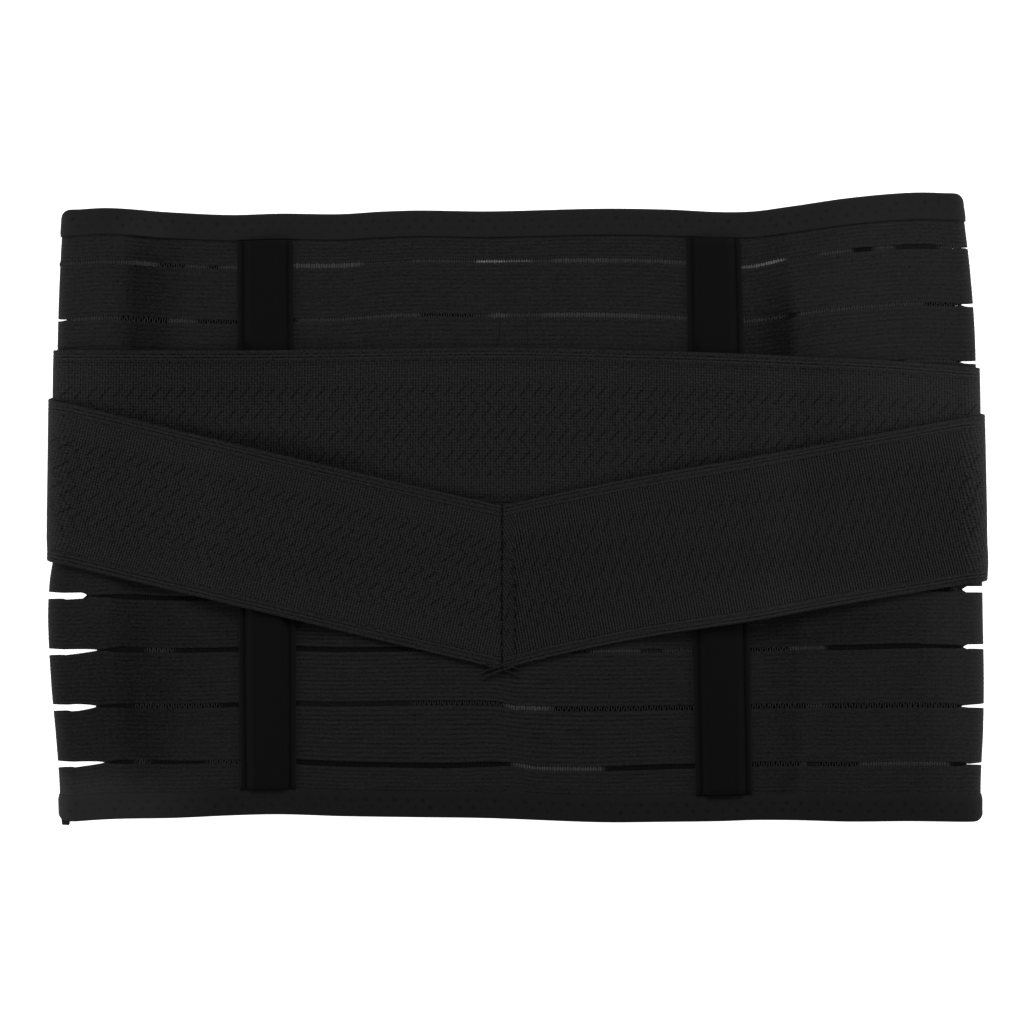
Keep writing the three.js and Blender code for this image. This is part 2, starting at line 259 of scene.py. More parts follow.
def close_cloth(bm):
    """Welds each cross-section, caps the ends and turns the faces outwards."""
    bmesh.ops.remove_doubles(bm, verts=bm.verts, dist=1e-6)
    open_edges = [edge for edge in bm.edges if edge.is_boundary]
    bmesh.ops.holes_fill(bm, edges=open_edges, sides=0)
    bmesh.ops.recalc_face_normals(bm, faces=bm.faces)
    for face in bm.faces:
        face.smooth = len(face.verts) == 4


def make_piece(name, lay, finish, slot, *nodes):
    """Lays cloth as a named piece that rides on the band and stands for its CAD nodes."""
    bm = bmesh.new()
    bm.verts.layers.float_vector.new("pattern")
    lay(bm)
    close_cloth(bm)
    mesh = bpy.data.meshes.new(name)
    bm.to_mesh(mesh)
    bm.free()
    mesh.materials.append(finishes[finish])
    piece = add_object(name, mesh)
    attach(piece, "root")
    if nodes:
        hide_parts(*nodes)
    mesh.calc_loop_triangles()
    print(f"{name}: {len(mesh.loop_triangles)} triangles")
    return piece


# %% [markdown]
# ## Finishes
# All of it is black textile, and what tells the pieces apart is the weave. Each material mixes a dark colour
# for the valleys, which is painted shade in the hollows of the weave, and a lighter one for the crests by a
# height: the weave that the mesh keeps, plus threads too fine to model and loose fibres. The same height is
# the bump. The fuzz leaves no gloss.

# %% Node and colour helpers
MATT = {"Roughness": 0.9, "Specular IOR Level": 0.05, "Sheen Weight": 0.03}


def shade(hex_colour):
    """An sRGB hex colour as linear red, green, blue and alpha."""
    parts = [int(hex_colour[i:i + 2], 16) / 255 for i in (1, 3, 5)]
    return [p / 12.92 if p <= 0.04045 else ((p + 0.055) / 1.055) ** 2.4 for p in parts] + [1.0]


def add_node(tree, kind, settings, links=()):
    """Adds a shader node, sets its properties or sockets, and links its inputs."""
    made = tree.nodes.new("ShaderNode" + kind)
    for key, value in settings.items():
        if isinstance(key, str) and hasattr(made, key):
            setattr(made, key, value)
        else:
            made.inputs[key].default_value = value
    for key, source in dict(links).items():
        tree.links.new(source, made.inputs[key])
    return made


def add_math(tree, operation, *values):
    """The result of a Math node, whose inputs are numbers or sockets."""
    numbers = {i: value for i, value in enumerate(values) if isinstance(value, (int, float))}
    sockets = {i: value for i, value in enumerate(values) if i not in numbers}
    return add_node(tree, "Math", {"operation": operation, **numbers}, sockets).outputs["Value"]


def add_range(tree, value, low, high, first=0.0, last=1.0, kind="LINEAR"):
    """The result of a Map Range node: first at low, last at high."""
    ends = {"From Min": low, "From Max": high, "To Min": first, "To Max": last}
    made = add_node(tree, "MapRange", {"interpolation_type": kind, **ends}, {"Value": value})
    return made.outputs["Result"]


def new_textile(name):
    """A material, its node tree, and the place on the pattern, whole and in parts."""
    material = bpy.data.materials.new(name)
    material.use_nodes = True
    tree = material.node_tree
    place = add_node(tree, "Attribute", {"attribute_name": "pattern"}).outputs["Vector"]
    parts = add_node(tree, "SeparateXYZ", {}, {"Vector": place})
    return material, tree, place, parts


def weave_height(tree, place, parts, modelled, sink, threads, spacing, thread_share, fibre_share, drawn_out):
    """The modelled height, sunk a little, with the finest threads and the loose fibres."""
    bands = 2 * math.pi / (20 * spacing * MM)
    wave = add_node(
        tree, "TexWave",
        {"bands_direction": threads, "Scale": bands, "Distortion": 0.8, "Detail": 1.0, "Detail Scale": 0.5},
        {"Vector": place})
    flat = add_node(tree, "VectorMath", {"operation": "MULTIPLY", 1: drawn_out}, {0: place})
    fibres = add_node(
        tree, "TexNoise", {"Scale": 700.0, "Detail": 3.0, "Roughness": 0.7},
        {"Vector": flat.outputs["Vector"]})
    base = add_math(tree, "MULTIPLY_ADD", parts.outputs["Z"], modelled, -sink)
    threaded = add_math(tree, "MULTIPLY_ADD", wave.outputs["Fac"], thread_share, base)
    return add_math(tree, "MULTIPLY_ADD", fibres.outputs["Fac"], fibre_share, threaded)


def dress(tree, height, valley_painted_shade, crest, bump):
    """Colours the height from valley to crest, the valley colour as painted shade, and raises it as bump, in
    millimetres.
    """
    shader = tree.nodes["Principled BSDF"]
    # the valley colour is painted shade in the hollows of the weave
    colour = add_node(tree, "Mix", {"data_type": "RGBA", 6: shade(valley_painted_shade), 7: shade(crest)}, {0: height})
    raised = add_node(tree, "Bump", {"Strength": 1.0, "Distance": bump * MM}, {"Height": height})
    for key, value in MATT.items():
        shader.inputs[key].default_value = value
    tree.links.new(colour.outputs[2], shader.inputs["Base Color"])
    tree.links.new(raised.outputs["Normal"], shader.inputs["Normal"])


# %% Plain woven finishes
ALONG, ACROSS, EVEN = (0.9, 2, 0), (1.8, 1.25, 0), (1, 1, 0)  # how fine the fibres are each way
# the valley colours are painted shade in the hollows of each weave
WOVEN = [  # name, modelled, sink, threads, spacing, thread share, fibre share, valley, crest, bump
    ("ribbed_woven_elastic", 0.43, 0.49, "X", 1.15, 0.11, 1.24, "#090909", "#2a2a2a", 0.028),
    ("folded_polyester_tape", 0.39, 0.0, "Y", 0.9, 0.06, 0.28, "#060606", "#2a2a2a", 0.07),
    ("brushed_stay_tape", 0.55, 0.0, "Y", 1.0, 0.12, 0.5, "#040404", "#0f0f0f", 0.05),
    ("polyester_sewing_thread", 0.80, 0.0, "X", 0.5, 0.10, 0.3, "#080808", "#1a1a1a", 0.02),
    # the yarn's dark colour stands in for the shade in an open slit, and its pale colour is painted light
    ("bridging_yarn", 1.00, 0.0, "X", 0.6, 0.0, 0.01, "#090909", "#707070", 0.02),
    ("hook_and_loop_tape", 0.60, 0.0, "X", 0.9, 0.30, 0.5, "#060606", "#151515", 0.25),
]
finishes = {}
for name, *weave, valley_painted_shade, crest, bump in WOVEN:
    material, tree, place, parts = new_textile(name)
    drawn_out = ALONG if name.startswith("ribbed") else EVEN
    height = weave_height(tree, place, parts, *weave, drawn_out)
    dress(tree, height, valley_painted_shade, crest, bump)
    finishes[name] = material
print("finishes:", list(finishes))

# %% [markdown]
# Long floats of yarn draw dark zigzag lines across the strap elastic, in the middle of its width only. One
# ping-pong step folds the place across the strap into a zigzag, and one folds the place along it into the
# distance from the nearest line. Noise breaks the worn lines up. Each zigzag has a fainter half, and the
# difference between its halves is painted shade, for how the light falls across their grooves.

# %% Herringbone elastic
ZIGZAG_SPACING = 5.65
ZIGZAG_HALF = 4.8
ZIGZAG_SWING = 4.2
ZIGZAG_TURN = 0.3
ZIGZAG_LINE = (0.15, 0.9)
ZIGZAG_ZONE = (19.5, 22.0)
ZIGZAG_DEPTH = 0.52
FAINT_HALF_PAINTED_SHADE = 0.45
WORN_RANGE = (0.36, 0.60)
material, tree, place, parts = new_textile("herringbone_woven_elastic")
lengthwise, crosswise = parts.outputs["X"], parts.outputs["Y"]
height = weave_height(
    tree, place, parts, modelled=1.00, sink=0.90, threads="Y", spacing=1.2, thread_share=0.24,
    fibre_share=2.00, drawn_out=ACROSS)
bent = add_math(tree, "PINGPONG", crosswise, ZIGZAG_HALF * MM)
slanted = add_math(tree, "MULTIPLY_ADD", bent, ZIGZAG_SWING / ZIGZAG_HALF, lengthwise)
nearest = add_math(tree, "PINGPONG", slanted, ZIGZAG_SPACING / 2 * MM)
line = add_range(tree, nearest, ZIGZAG_LINE[0] * MM, ZIGZAG_LINE[1] * MM, 1.0, 0.0, "SMOOTHSTEP")
off_middle = add_math(tree, "ABSOLUTE", crosswise)
zone = add_range(tree, off_middle, ZIGZAG_ZONE[0] * MM, ZIGZAG_ZONE[1] * MM, 1.0, 0.0)
repeat = add_math(tree, "WRAP", crosswise, 2 * ZIGZAG_HALF * MM, 0.0)
turns = [(ZIGZAG_HALF + more) * MM for more in (-ZIGZAG_TURN, ZIGZAG_TURN)]
# the two halves of each zigzag are drawn at different strength as painted shade
half_painted_shade = add_range(tree, repeat, *turns, FAINT_HALF_PAINTED_SHADE)
strength = add_math(tree, "MULTIPLY", add_math(tree, "MULTIPLY", line, zone), half_painted_shade)
blotches = add_node(tree, "TexNoise", {"Scale": 200.0, "Detail": 1.0}, {"Vector": place})
worn = add_range(tree, blotches.outputs["Fac"], *WORN_RANGE)
cut = add_math(tree, "MULTIPLY_ADD", add_math(tree, "MULTIPLY", strength, worn), -ZIGZAG_DEPTH, height)
# its valley colour is painted shade too
dress(tree, cut, "#040404", "#292929", 0.03)
finishes["herringbone_woven_elastic"] = material
print("finishes:", len(finishes))

# %% [markdown]
# ## The elastic panel
# The wrap is woven as eleven ribbed strips, with yarns that run zigzag across the slits between them. Where
# the cloth is pulled open, a slit reads as a black line, and thick dark yarns stand in for the shade in it;
# where it is slack, its yarns stand on the surface, and the light they catch is painted on them as a paler
# colour. Tables say, for each slit counted from the top, how far it strays from a straight line, how wide it
# is and how its yarns lie with their painted light, and where it gapes at a fold, through both layers.

# %% Lie of the slits
SLIT_STRAY = {  # x, millimetres up
    1: [(-200, 0.6), (-98, 1.0), (-50, 1.8), (-7, 2.1), (36, 1.7), (72, 1.3), (102, -0.2), (124, 1.5),
        (195, 1.1)],
    2: [(-200, 0.4), (-95, 1.2), (-50, 2.4), (-7, 2.6), (36, 2.2), (72, 1.3), (102, 0.3), (124, 1.0),
        (195, 1.1)],
    3: [(-200, 0.4), (-7, 1.3), (72, 0.6), (195, 1.1)],
    7: [(-205, 1.9), (-161, 0.0), (0, 0.8), (195, 1.7)],
    8: [(-205, 1.5), (-122, 1.0), (-43, 1.2), (80, 1.9), (195, 1.6)],
    9: [(-205, 1.3), (-122, 0.7), (-16, 2.1), (-8, 1.9), (0, 0.4), (76, 1.3), (195, 0.7)],
    10: [(-205, 0.7), (-170, 0.7), (-122, -0.4), (-34, -1.4), (-3, -0.2), (10, -1.5), (76, 0.0), (195, 0.3)],
}
SLIT_LIE = {  # from x on: width, how high the yarns stand, how much light is painted on them
    1: [(-210, 1.4, 0.7, 0.5), (-172, 1.2, 0.8, 0.65), (-161, 1.2, 0.9, 0.1), (-148, 1.2, 0.8, 0.55),
        (-139, 1.2, 0.9, 0.15), (-133, 1.2, 0.8, 0.6), (-100, 1.7, 0.9, 0.95), (-69, 0.6, 0.6, 0.4),
        (-47, 0.9, 0.8, 0.6), (-29, 0.8, 0.6, 0.5), (-18, 0.6, 0.8, 3.0), (-6, 0.6, 0.7, 1.8),
        (6, 0.9, 0.7, 0.5), (16, 1.5, 0.9, 0.8), (40, 1.4, 0.9, 0.65), (101, 1.0, 0.8, 1.6),
        (110, 0.7, 0.8, 2.4), (121, 0.6, 0.6, 0.35), (137, 1.2, 0.9, 0.65),
        (152, 1.9, 0, 0), (162, 1.2, 0.9, 0.6), (171, 1.9, 0.2, 0.1), (191, 1.0, 0.8, 0.4)],
    2: [(-210, 1.3, 0.8, 0.6), (-184, 1.2, 0.8, 0.4), (-176, 1.9, 0.6, 0), (-155, 1.3, 0.8, 0.6),
        (-143, 1.4, 0.9, 0.15), (-97, 1.4, 0.8, 0.5), (-67, 1.3, 0.9, 0.6), (-43, 1.0, 1.0, 0),
        (-20, 0.9, 0.6, 0.4), (-12, 1.5, 0.9, 0.95), (-4, 1.3, 0.9, 0.5), (12, 1.7, 0.9, 0.8),
        (54, 1.5, 0.9, 0.6), (101, 1.2, 0.8, 0.45), (110, 0.8, 0.5, 0.3), (120, 1.9, 0, 0),
        (126, 1.2, 0.8, 0.55), (182, 1.3, 1.0, 0.05)],
    3: [(-210, 1.4, 0.6, 0.3), (150, 1.4, 1.0, 0.1), (172, 1.2, 0.9, 0.45)],
    7: [(-210, 0.6, 0, 0), (-182, 1.2, 0, 0), (-176, 2.0, 0, 0), (191, 1.6, 0.8, 0.45)],
    8: [(-210, 0.6, 0, 0), (-178, 2.0, 0.1, 0), (-162, 1.9, 0.7, 0.3), (-150, 2.0, 0, 0),
        (-47, 1.2, 0.6, 0.2), (32, 1.0, 0.9, 0.65), (54, 1.2, 0.4, 0), (63, 1.2, 0.9, 0.35),
        (100, 1.3, 0.9, 0.15), (120, 1.2, 0.9, 0.6), (135, 2.1, 0, 0), (176, 1.5, 0, 0)],
    9: [(-210, 0.6, 0, 0), (-183, 1.4, 0.1, 0), (-168, 1.7, 0.9, 0.2), (-131, 1.9, 0.1, 0),
        (-97, 2.0, 0.3, 0), (-47, 1.9, 0.45, 0.1), (-5, 1.5, 0.9, 0.95), (15, 2.0, 0.95, 0.12),
        (127, 0.8, 0.8, 0.4), (135, 2.1, 0.95, 0.15), (166, 1.9, 0.95, 0.2), (186, 1.9, 0.9, 0.1)],
    10: [(-210, 0.6, 0, 0), (-180, 1.6, 0, 0), (-170, 1.0, 0.9, 0.24),
         (-164, 1.3, 0.2, 0), (-138, 1.3, 0.9, 0.24), (-100, 2.2, 0, 0), (-6, 1.4, 0.2, 0),
         (-2, 1.5, 0.6, 1.0), (38, 2.1, 0, 0), (100, 1.9, 0.8, 0.05), (125, 1.0, 0.8, 0.5),
         (127, 1.9, 0.3, 0), (133, 1.6, 0.9, 0.15), (151, 1.4, 0.9, 0.65), (190, 1.6, 0.2, 0)],
}
NOTCHES = [  # slit, side, where it is shut, where it is full, and its width there
    (2, -1, 201.0, 203.5, 1.0),
    (7, -1, 187.5, 189.5, 3.0),
    (8, -1, 183.5, 203.0, 2.9),
    (9, -1, 185.5, 194.0, 3.0),
    (10, -1, 184.0, 204.0, 3.0),
    (1, 1, 203.0, 207.0, 0.8),
    (2, 1, 199.0, 201.5, 1.5),
    (3, 1, 197.5, 200.0, 1.3),
    (7, 1, 195.5, 197.5, 2.7),
    (8, 1, 195.5, 197.0, 2.1),
    (9, 1, 194.5, 206.0, 2.0),
    (10, 1, 198.5, 206.0, 1.2),
]

# %% Read the tables of a slit
HIDDEN_SLIT = [(-210, 1.6, 0.0, 0.0)]
CLOSED_SLIT = (0.02, 0.0, 0.0)
BLEND = 1.5
STRAY_FADE = 40
SHUT_BLEND = 4
NOTCH_BLEND = (-0.5, 3.5)
LOWER_NOTCH_MORE = 0.8


def slit_middle(slit, along):
    """Height of the middle of a slit on the pattern."""
    rows = SLIT_STRAY.get(slit, [(-200, 0.0), (200, 0.0)])
    fade = 1 - ease(np.abs(along), BACK_START, BACK_START + STRAY_FADE)
    return TOP - slit * STRIP_PITCH + fade * curve(*zip(*rows), along)


def slit_lie(slit, along, column):
    """Width, yarn height or painted light on the yarns of a slit, by column: shut behind the folds."""
    rows = SLIT_LIE.get(slit, HIDDEN_SLIT)
    keys, values = [], []
    for i, row in enumerate(rows):
        keys += [row[0] - BLEND, row[0] + BLEND]
        values += [rows[max(i - 1, 0)][column], row[column]]
    run = np.abs(along)
    behind = ease(run, BACK_START - SHUT_BLEND, BACK_START + SHUT_BLEND)
    lie = np.interp(along, keys, values) * (1 - behind) + CLOSED_SLIT[column - 1] * behind
    for number, side, shut, full, width in NOTCHES:
        here = (number == slit) & (along * side > 0)
        lie = np.where(here, lie * ease(shut - run, *NOTCH_BLEND), lie)
        if column == 1:
            under = FLAT_RUN - (run - BACK_START)
            open_below = (width + LOWER_NOTCH_MORE) * ease(under, shut + 0.3, shut + 2.5)
            taper = np.sqrt(np.clip((run - shut) / (full - shut), 0, 1))
            opened = np.where(run < BACK_START, width * taper, open_below)
            lie = np.where(here & (run > shut), np.maximum(opened, CLOSED_SLIT[0]), lie)
    return lie


def bridged(slit, along):
    """1 where yarns cross a slit, 0 in its notches and behind the folds."""
    run = np.abs(along)
    share = 1 - ease(run, BACK_START - 8, BACK_START - 4)
    for number, side, shut, _, _ in NOTCHES:
        here = (number == slit) & (along * side > 0)
        share = np.where(here, share * ease(shut - run, 0.2, 0.7), share)
    return share


print("slits with a lie of their own:", sorted(SLIT_LIE))

# %% [markdown]
# Broad patches without edges paint light and shade on the cloth: some places, such as the folds and the
# lower left corner, are painted lighter as light, and others darker as shade.

# %% Broad patches of painted light and shade
PATCH_CORE = 0.25
PANEL_PAINTED_LIGHT_AND_SHADE = [  # middle x, half width, middle y, half height, how much lighter as painted light (below 0, darker as painted shade)
    (-196, 66, -131, 24, 0.98),
    (207, 34, -70, 115, 0.45),
    (172, 62, 92, 75, 0.30),
    (-206, 34, 92, 75, 0.28),
    (-168, 50, -82, 42, -0.28),
    (130, 56, -50, 20, -0.32),
    (-168, 18, 120, 16, 0.35),
    (108, 34, 75, 18, -0.24),
    (-95, 120, -50, 22, -0.20),
]
STRAP_PAINTED_LIGHT_AND_SHADE = [  # the same for the straps
    (195, 75, 60, 60, 0.17),
    (-206, 40, 60, 40, 0.12),
    (110, 130, -20, 75, 0.10),
    (-140, 80, 58, 26, -0.09),
]


def patches(table, x, y):
    """How much painted light, or painted shade below 0, the patches of a table put on each place."""
    lighter = np.zeros_like(x)
    for middle_x, half_width, middle_y, half_height, change in table:
        away = np.hypot((x - middle_x) / half_width, (y - middle_y) / half_height)
        lighter = lighter + change * (1 - ease(away, PATCH_CORE, 1.0))
    return lighter


print("patches of tone:", len(PANEL_PAINTED_LIGHT_AND_SHADE) + len(STRAP_PAINTED_LIGHT_AND_SHADE))

# %% [markdown]
# Each strip is one grid that runs once round the loop, with twelve ribs on the outside and a plain inside,
# which is painted lighter as light inside the loop. Every rib swells and fades a little at random. Beside the
# casings the panel bends inwards in two creases, and the shade in them is painted darker on the ribs.

# %% Ribbed strips
RIBS = 12
POINTS_PER_RIB = 3
RIB_DEPTH = 0.16
RIB_STATIONS = 4.5
RIB_SWELL = (0.2, 0.8)
RIB_TONE = 0.06
INSIDE_EDGE = 0.6
INSIDE_PAINTED_LIGHT = 1.5
FIRM_STRIPS = (7, 8, 9)
FIRM_MORE = 0.8
FIRM_START, FIRM_END = (-135, -105), (20, 90)
CREASES = [  # x where it starts, is deep, starts to end and ends; depth low down, more above, more at the top
    (-178, -171, -168, -142, 0.5, 0.7, 0.0),
    (100, 120, 121, 125, 0.5, 0.85, -1.1),
]
CREASE_ABOVE, CREASE_TOP = (-20, 60), (80, 112)
CREASE_PAINTED_SHADE = 0.45
CREASE_DEPTH = 0.5
dice = np.random.default_rng(7)


def crease(x, y):
    """How far the cloth bends inwards in a crease: it sinks the surface there, and is painted darker as
    shade.
    """
    bent = np.zeros_like(x)
    for start, deep, still_deep, end, low, above, top in CREASES:
        depth = low + above * ease(y, *CREASE_ABOVE) + top * ease(y, *CREASE_TOP)
        bent = bent + ease(x, start, deep) * (1 - ease(x, still_deep, end)) * depth
    return bent


def strip_edge(number, along, side):
    """Lower (-1) or upper (1) edge of a strip: at a slit, or inside an edge tape."""
    slit = number if side > 0 else number + 1
    if slit in (0, STRIP_COUNT):
        edge = TOP if slit == 0 else BOTTOM
        return np.full_like(along, edge - side * BINDING_FACE)
    return slit_middle(slit, along) - side * slit_lie(slit, along, 1) / 2


def strip_stations():
    """Distances along the loop, close together at the notches."""
    before = np.arange(FLAT_RUN - 22, FLAT_RUN - 0.5, 1.8)
    behind = BACK_START + np.arange(1.5, 25, 1.9)
    close = np.hstack([before, behind])
    even = stations(PANEL_END, RIB_STATIONS, fold_steps=14, lower_step=16.0)
    return np.union1d(even, np.hstack([-close, close]))


def lay_strips(bm):
    along = strip_stations()
    share = np.linspace(0, 1, RIBS * POINTS_PER_RIB + 1)
    crest = 0.5 - 0.5 * np.cos(2 * math.pi * RIBS * share)
    outer = np.hstack([0, np.ones(len(share)), [0] * 3])
    crest = np.hstack([0.5, crest, [0.5] * 3])
    faces = np.full(len(share), PANEL_FACE)
    flat = np.hstack([-INSIDE_EDGE, faces, -INSIDE_EDGE, -PANEL_FACE, -INSIDE_EDGE])
    # the inner face is painted lighter, as light that reaches inside the loop
    inside = np.hstack([INSIDE_PAINTED_LIGHT, np.zeros(len(share)), [INSIDE_PAINTED_LIGHT] * 3])
    share = np.hstack([0, share, 1, 0.5, 0])
    rib = np.clip((share * RIBS).astype(int), 0, RIBS - 1)
    firm_here = ease(along, *FIRM_START) * (1 - ease(along, *FIRM_END))
    for number in range(STRIP_COUNT):
        low, high = strip_edge(number, along, -1), strip_edge(number, along, 1)
        firm = 1.0 + FIRM_MORE * (number in FIRM_STRIPS) * firm_here
        full = dice.uniform(*RIB_SWELL, (len(along), RIBS)) * firm[:, None]
        tone = dice.normal(0.0, RIB_TONE, (len(along), RIBS))

        def place(row, point):
            x, y = along[row], low[row] + (high[row] - low[row]) * share[point]
            bent = crease(x, y)
            rise = (crest[point] - 0.5) * full[row, rib[point]]
            out = flat[point] + outer[point] * RIB_DEPTH * (rise - 0.5)
            # the creases are painted darker here as shade
            relief = 0.5 + rise + tone[row, rib[point]] + inside[point] - CREASE_PAINTED_SHADE * bent
            # broad patches of painted light and shade
            relief = relief + patches(PANEL_PAINTED_LIGHT_AND_SHADE, x, y)
            return wrap(x, y, out - CREASE_DEPTH * bent), marks(x, y, relief)

        lay_cloth(bm, len(along), len(share), place)


panel = make_piece(
    "elastic_panel_strips", lay_strips, "ribbed_woven_elastic", "ribbed_elastic", "elastic_panel")

# %% [markdown]
# One yarn goes to and fro across each slit. Where it stands up it shows as leaning strokes, and where it lies
# tight or has much painted light the strokes are so thick that they close up into a bar. A dark bar stands in
# for the shade in an open slit, and a pale one is painted light.

# %% Yarns to and fro across the slits
YARN_STEP = 1.12
YARN_JITTER = 0.12
YARN_SIDES = 4
YARN_RADIUS = 0.23
BAR_RADIUS = 0.76
YARN_LEAN = 0.32
YARN_REACH = 0.2
UP_MORE, DOWN_MORE = (0.2, 0.4), (0.15, 0.3)  # further with the stand, and at random
LOOSE_RANGE, SOLID_RANGE = (0.2, 0.6), (0.15, 0.5)
LOOSE_YARN_PAINTED_LIGHT = 0.48
YARN_PAINTED_LIGHT_SHARE = 0.3
HIDDEN_STEP = 8.0
FRINGE = {9: (148, 197, 1.5), 2: (126, 196, 0.5)}  # from x, to x, how much further some yarns reach up
STROKE = np.array([0.0, 0.12, 0.5, 0.88, 1.0])


def yarn_crossings(slit):
    """Where the yarn of a slit crosses it: close together where it shows."""
    shown = BACK_START - 6 if slit in SLIT_LIE else 0
    close = np.arange(-shown, shown, YARN_STEP)
    far = np.arange(max(shown, 4) + 6, PANEL_END - 2, HIDDEN_STEP)
    along = np.hstack([-far[::-1], close, far])
    return along + dice.uniform(-YARN_JITTER, YARN_JITTER, len(along))


def lay_yarns(bm):
    turn = np.linspace(0, 2 * math.pi, YARN_SIDES + 1)
    for slit in range(1, STRIP_COUNT):
        along = yarn_crossings(slit)
        count = len(along)
        width, stand, yarn_painted_light = (slit_lie(slit, along, column) for column in (1, 2, 3))
        start, end, more = FRINGE.get(slit, (0, 0, 0.0))
        fringe = more * (along > start) * (along < end)
        loose = ease(stand, *LOOSE_RANGE)
        solid = ease(yarn_painted_light, *SOLID_RANGE)
        ragged = stand * (1 - 0.7 * solid)
        edge = width / 2 + YARN_REACH
        up = edge + UP_MORE[0] * stand + ragged * dice.exponential(UP_MORE[1], count)
        up = up + fringe * dice.uniform(0, 1, count)
        down = edge + DOWN_MORE[0] * stand + ragged * dice.exponential(DOWN_MORE[1], count)
        drawn = bridged(slit, along)
        upward = np.where(np.arange(count) % 2, 1, -1)
        lean = YARN_LEAN + dice.uniform(-YARN_JITTER, YARN_JITTER, count)
        lean = lean * (0.2 + 0.8 * loose * (1 - solid))
        yarn_painted_light = np.maximum(yarn_painted_light * dice.uniform(0.85, 1.12, count), LOOSE_YARN_PAINTED_LIGHT * loose)
        radius = BAR_RADIUS + (YARN_RADIUS - BAR_RADIUS) * loose * (1 - solid)
        middle = slit_middle(slit, along)

        step = np.tile(STROKE, count)
        which = np.repeat(np.arange(count), len(STROKE))
        climb = np.where(upward[which] > 0, step, 1 - step)
        tilt = lean[which] * upward[which] * (2 * climb - 1)
        x = along[which] + tilt * drawn[which]
        crossing = middle[which] - down[which] + (up + down)[which] * climb
        hidden = middle[which] + width[which] / 2 + 1.2
        y = hidden + (crossing - hidden) * drawn[which]
        arch = 1 - (2 * climb - 1) ** 4
        proud = 0.1 + 0.85 * stand[which] * (1 - 0.25 * solid[which])
        level = -0.4 + drawn[which] * (0.1 + proud * arch)
        # painted light on the yarns, lighter at the lower end of each stroke and darker at the upper end as
        # painted shade
        tone = YARN_PAINTED_LIGHT_SHARE * yarn_painted_light[which] * (1 - 0.35 * climb)

        def place(row, point):
            beside = x[row] + radius[which[row]] * np.cos(turn[point])
            out = level[row] + radius[which[row]] * np.sin(turn[point])
            return wrap(beside, y[row], out), marks(x[row], y[row], tone[row])

        lay_cloth(bm, len(x), YARN_SIDES + 1, place)


yarns = make_piece("slit_yarns", lay_yarns, "bridging_yarn", "ribbed_elastic")

# %% [markdown]
# ## Edge tapes
# A tape is folded over each long edge and sewn with a zigzag stitch. What shows of the stitch are the two
# rows of needle holes, so the tape is dented there and the thread dips into each dent. The holes are painted
# darker, as shade, and the bottom tape is painted darker than the top one, as shade too.

# %% Folded tapes with needle holes
HOLE_PITCH = 6.45
HOLE_ROWS = (4.4, 7.5)
HOLE_RADIUS = 0.7
HOLE_DENT, HOLE_PAINTED_SHADE = 0.25, 0.8
HOLE_KINDS = 97
TAPE_SEAT = 0.85
TAPE_FACE = 1.4
THIN_EDGE = 2.5
THREAD_RADIUS = 0.14
EDGES = {  # height, which way is inwards, how much the inner edge is thinned, tone with painted shade (the bottom tape darker)
    "top": (TOP, -1, 0.2, 0.8),
    "bottom": (BOTTOM, 1, 0.45, 0.5),
}
hole_force = dice.uniform(0.0, 1.0, (HOLE_KINDS, 2)) ** 1.5
hole_drift = dice.normal(0.0, 0.35, (HOLE_KINDS, 2))


def hole_depth(along, inward):
    """1 at a deep needle hole, 0 away from it; the second row lies half a step on."""
    depth = np.zeros_like(along)
    for line, row in enumerate(HOLE_ROWS):
        place = along / HOLE_PITCH + 0.5 * line
        number = np.rint(place).astype(int)
        kind = number % HOLE_KINDS
        off = (place - number) * HOLE_PITCH - hole_drift[kind, line]
        near = np.exp(-(off ** 2 + (inward - row) ** 2) / HOLE_RADIUS ** 2)
        depth = depth + (0.4 + 0.6 * hole_force[kind, line]) * near
    return depth


def tape_section():
    """Inward distance and distance out, once round the folded tape."""
    legs = np.linspace(BINDING_LEG, TAPE_FACE, 20)
    turn = np.linspace(0, math.pi, 9)[1:-1]
    inside = legs[::-3]
    inner = BINDING_FACE - GAP
    inward = np.hstack([
        BINDING_LEG, legs, TAPE_FACE - TAPE_FACE * np.sin(turn), inside,
        BINDING_LEG, BINDING_LEG, inner, inner, BINDING_LEG])
    out = np.hstack([
        TAPE_SEAT, np.full(len(legs), TAPE_FACE), TAPE_FACE * np.cos(turn),
        np.full(len(inside), -TAPE_FACE), -TAPE_FACE, -TAPE_SEAT, -TAPE_SEAT, TAPE_SEAT, TAPE_SEAT])
    return inward, out


def lay_tape(bm, edge, inwards, thinned, tone):
    along = stations(PANEL_END, upper_step=0.6, fold_steps=40, lower_step=8.0)
    inward, out = tape_section()
    outside = (out > TAPE_SEAT + 0.01).astype(float)
    out = out - thinned * outside * ease(inward, BINDING_LEG - THIN_EDGE, BINDING_LEG)

    # tone is painted shade: the bottom tape is darker than the top one
    def place(row, point):
        x, y = along[row], edge + inwards * inward[point]
        depth = hole_depth(x, inward[point]) * outside[point]
        # the needle holes are painted darker as shade, and the patches add painted light and shade
        relief = tone - HOLE_PAINTED_SHADE * depth + patches(PANEL_PAINTED_LIGHT_AND_SHADE, x, y)
        return wrap(x, y, out[point] - HOLE_DENT * depth), marks(x, inward[point], relief)

    lay_cloth(bm, len(along), len(inward), place)


